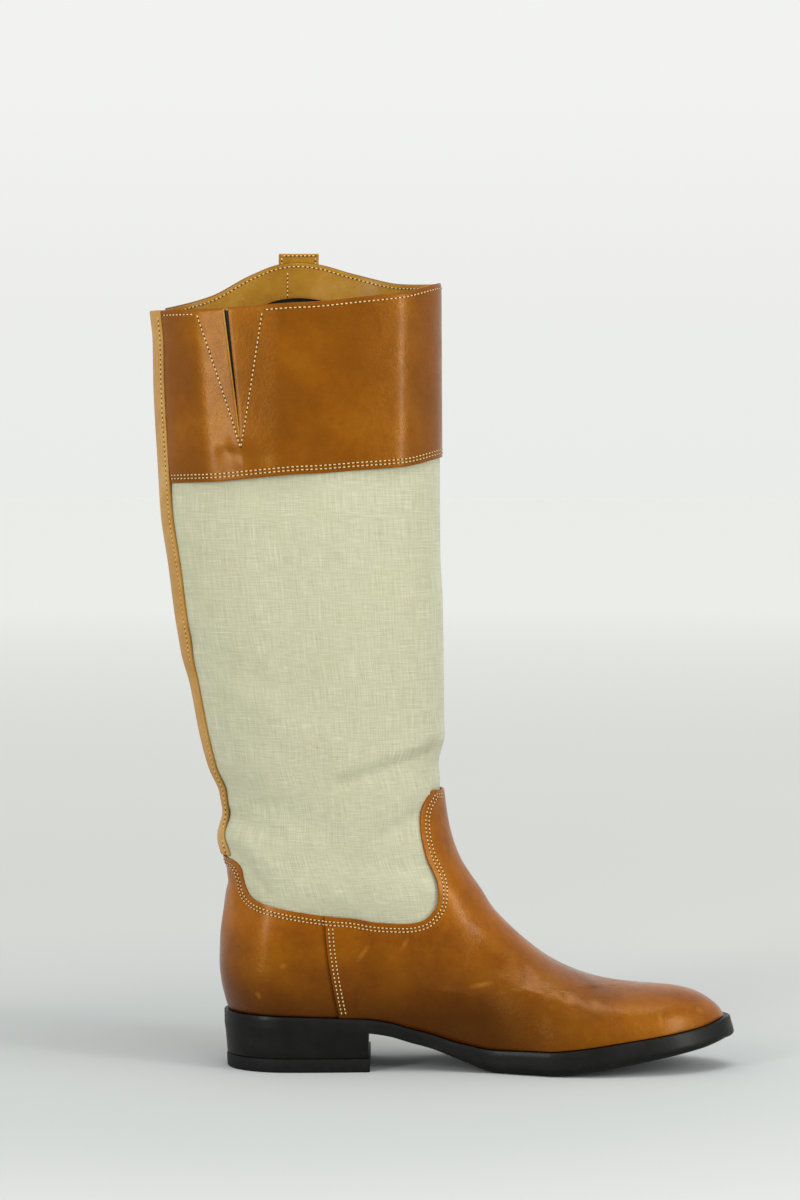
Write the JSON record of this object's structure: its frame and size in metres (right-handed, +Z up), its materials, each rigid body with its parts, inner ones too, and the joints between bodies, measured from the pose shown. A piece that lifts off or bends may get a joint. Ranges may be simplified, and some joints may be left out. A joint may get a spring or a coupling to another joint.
{
  "type": "tall leather riding boot",
  "caption": "Tall pull-on riding boot, left foot: leather foot, cuff and back stay, linen shaft, elastic gore, pull tab, sole with a low block heel.",
  "frame": {"origin": "centre of the heel's flat, on the floor", "axes": "+Z up, +X to the toe, -Y to the inner (medial) side of the left foot"},
  "size_m": [0.3167, 0.0945, 0.444],
  "materials": {
    "sole": "black inked and waxed edge",
    "heel": "black inked stacked leather",
    "top_lift": "matt black",
    "insole": "matt",
    "foot_leather": "smooth, semi-gloss cognac calf",
    "linen": "plain-woven linen with slubs",
    "elastic": "black ribbed elastic",
    "stay_leather": "light tan, satin",
    "cuff_leather": "smooth, semi-gloss cognac calf",
    "tab_leather": "satin"
  },
  "bodies": {
    "root": {"outsole": "sole", "heel_block": "heel", "top_lift": "top_lift", "insole": "insole", "upper": "foot_leather", "shaft": "linen", "gore": "elastic", "back_stay": "stay_leather", "cuff": "cuff_leather", "pull_tab": "tab_leather"}
  },
  "joints": []
}
